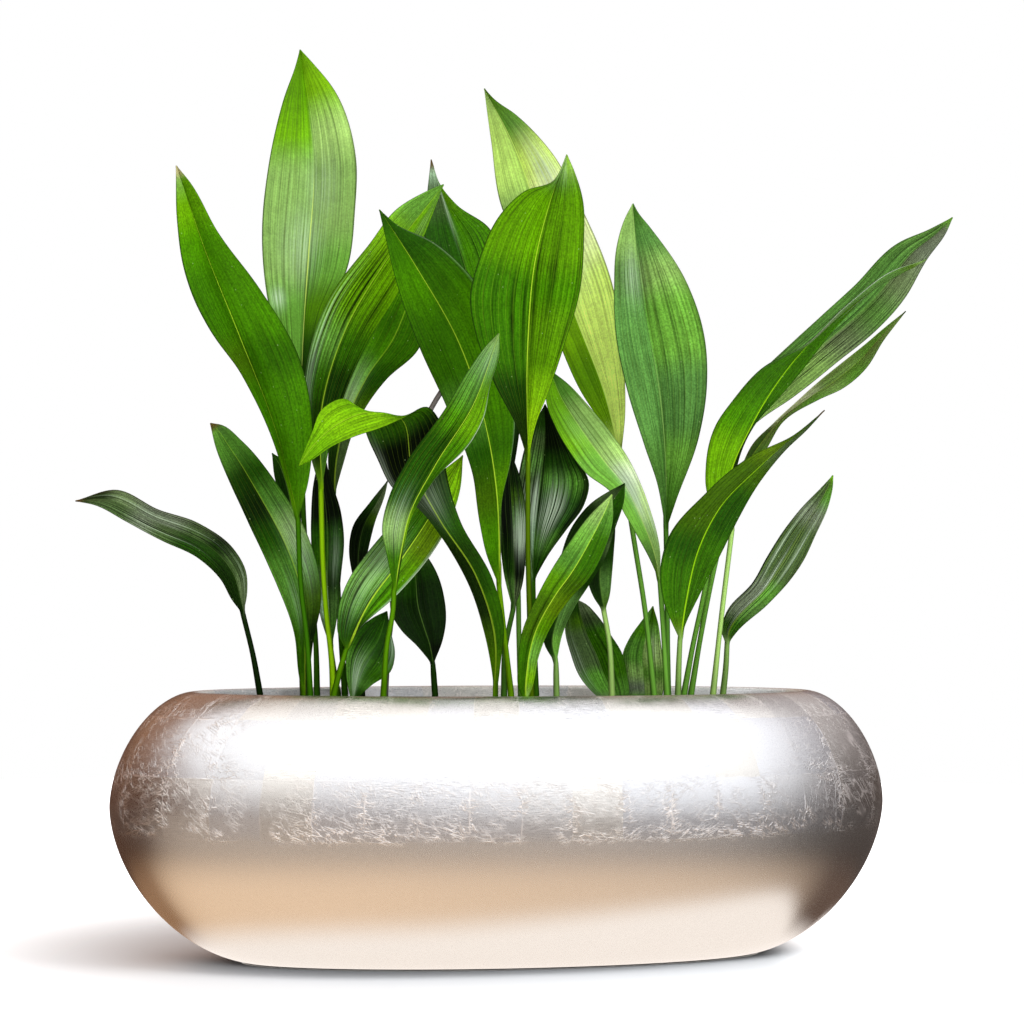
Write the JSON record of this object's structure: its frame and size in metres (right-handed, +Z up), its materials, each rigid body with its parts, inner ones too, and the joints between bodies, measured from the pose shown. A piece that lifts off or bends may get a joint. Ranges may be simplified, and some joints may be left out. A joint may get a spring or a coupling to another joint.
{
  "type": "potted cast iron plant",
  "caption": "Cast iron plant with tall arching pleated leaves, standing in the soil of a long oval planter finished in squares of silver leaf.",
  "frame": {"origin": "middle of the planter's flat base, on the surface that it stands on", "axes": "+Z up, X along the planter's length, the viewer looks along +Y; the lone drooping leaf is at -X and the three leaning leaves are at +X"},
  "size_m": [0.937, 0.4138, 0.9675],
  "materials": {
    "silver_leaf": "resin bowl covered in squares of silver leaf with fine creases and seams, under a satin lacquer",
    "soil": "dark crumbly potting soil, matt",
    "mid_leaf": "leathery pleated leaf, satin, with a pale midrib and a faint sheen",
    "light_leaf": "young leathery pleated leaf, yellow-green, satin",
    "dark_leaf": "leathery pleated leaf in deep green, glossier"
  },
  "bodies": {
    "root": {"planter": "silver_leaf", "soil": "soil", "leaf_01": "dark_leaf", "leaf_02": "mid_leaf", "leaf_03": "dark_leaf", "leaf_04": "mid_leaf", "leaf_05": "light_leaf", "leaf_06": "mid_leaf", "leaf_07": "mid_leaf", "leaf_08": "dark_leaf", "leaf_09": "mid_leaf", "leaf_10": "dark_leaf", "leaf_11": "dark_leaf", "leaf_12": "mid_leaf", "leaf_13": "dark_leaf", "leaf_14": "dark_leaf", "leaf_15": "mid_leaf", "leaf_16": "dark_leaf", "leaf_17": "mid_leaf", "leaf_18": "dark_leaf", "leaf_19": "mid_leaf", "leaf_20": "mid_leaf", "leaf_21": "dark_leaf", "leaf_22": "dark_leaf", "leaf_23": "dark_leaf", "leaf_24": "dark_leaf", "leaf_25": "dark_leaf", "leaf_26": "light_leaf", "leaf_27": "light_leaf", "leaf_28": "mid_leaf", "leaf_29": "mid_leaf", "leaf_30": "dark_leaf", "leaf_31": "mid_leaf", "leaf_32": "mid_leaf", "leaf_33": "mid_leaf"}
  },
  "joints": []
}
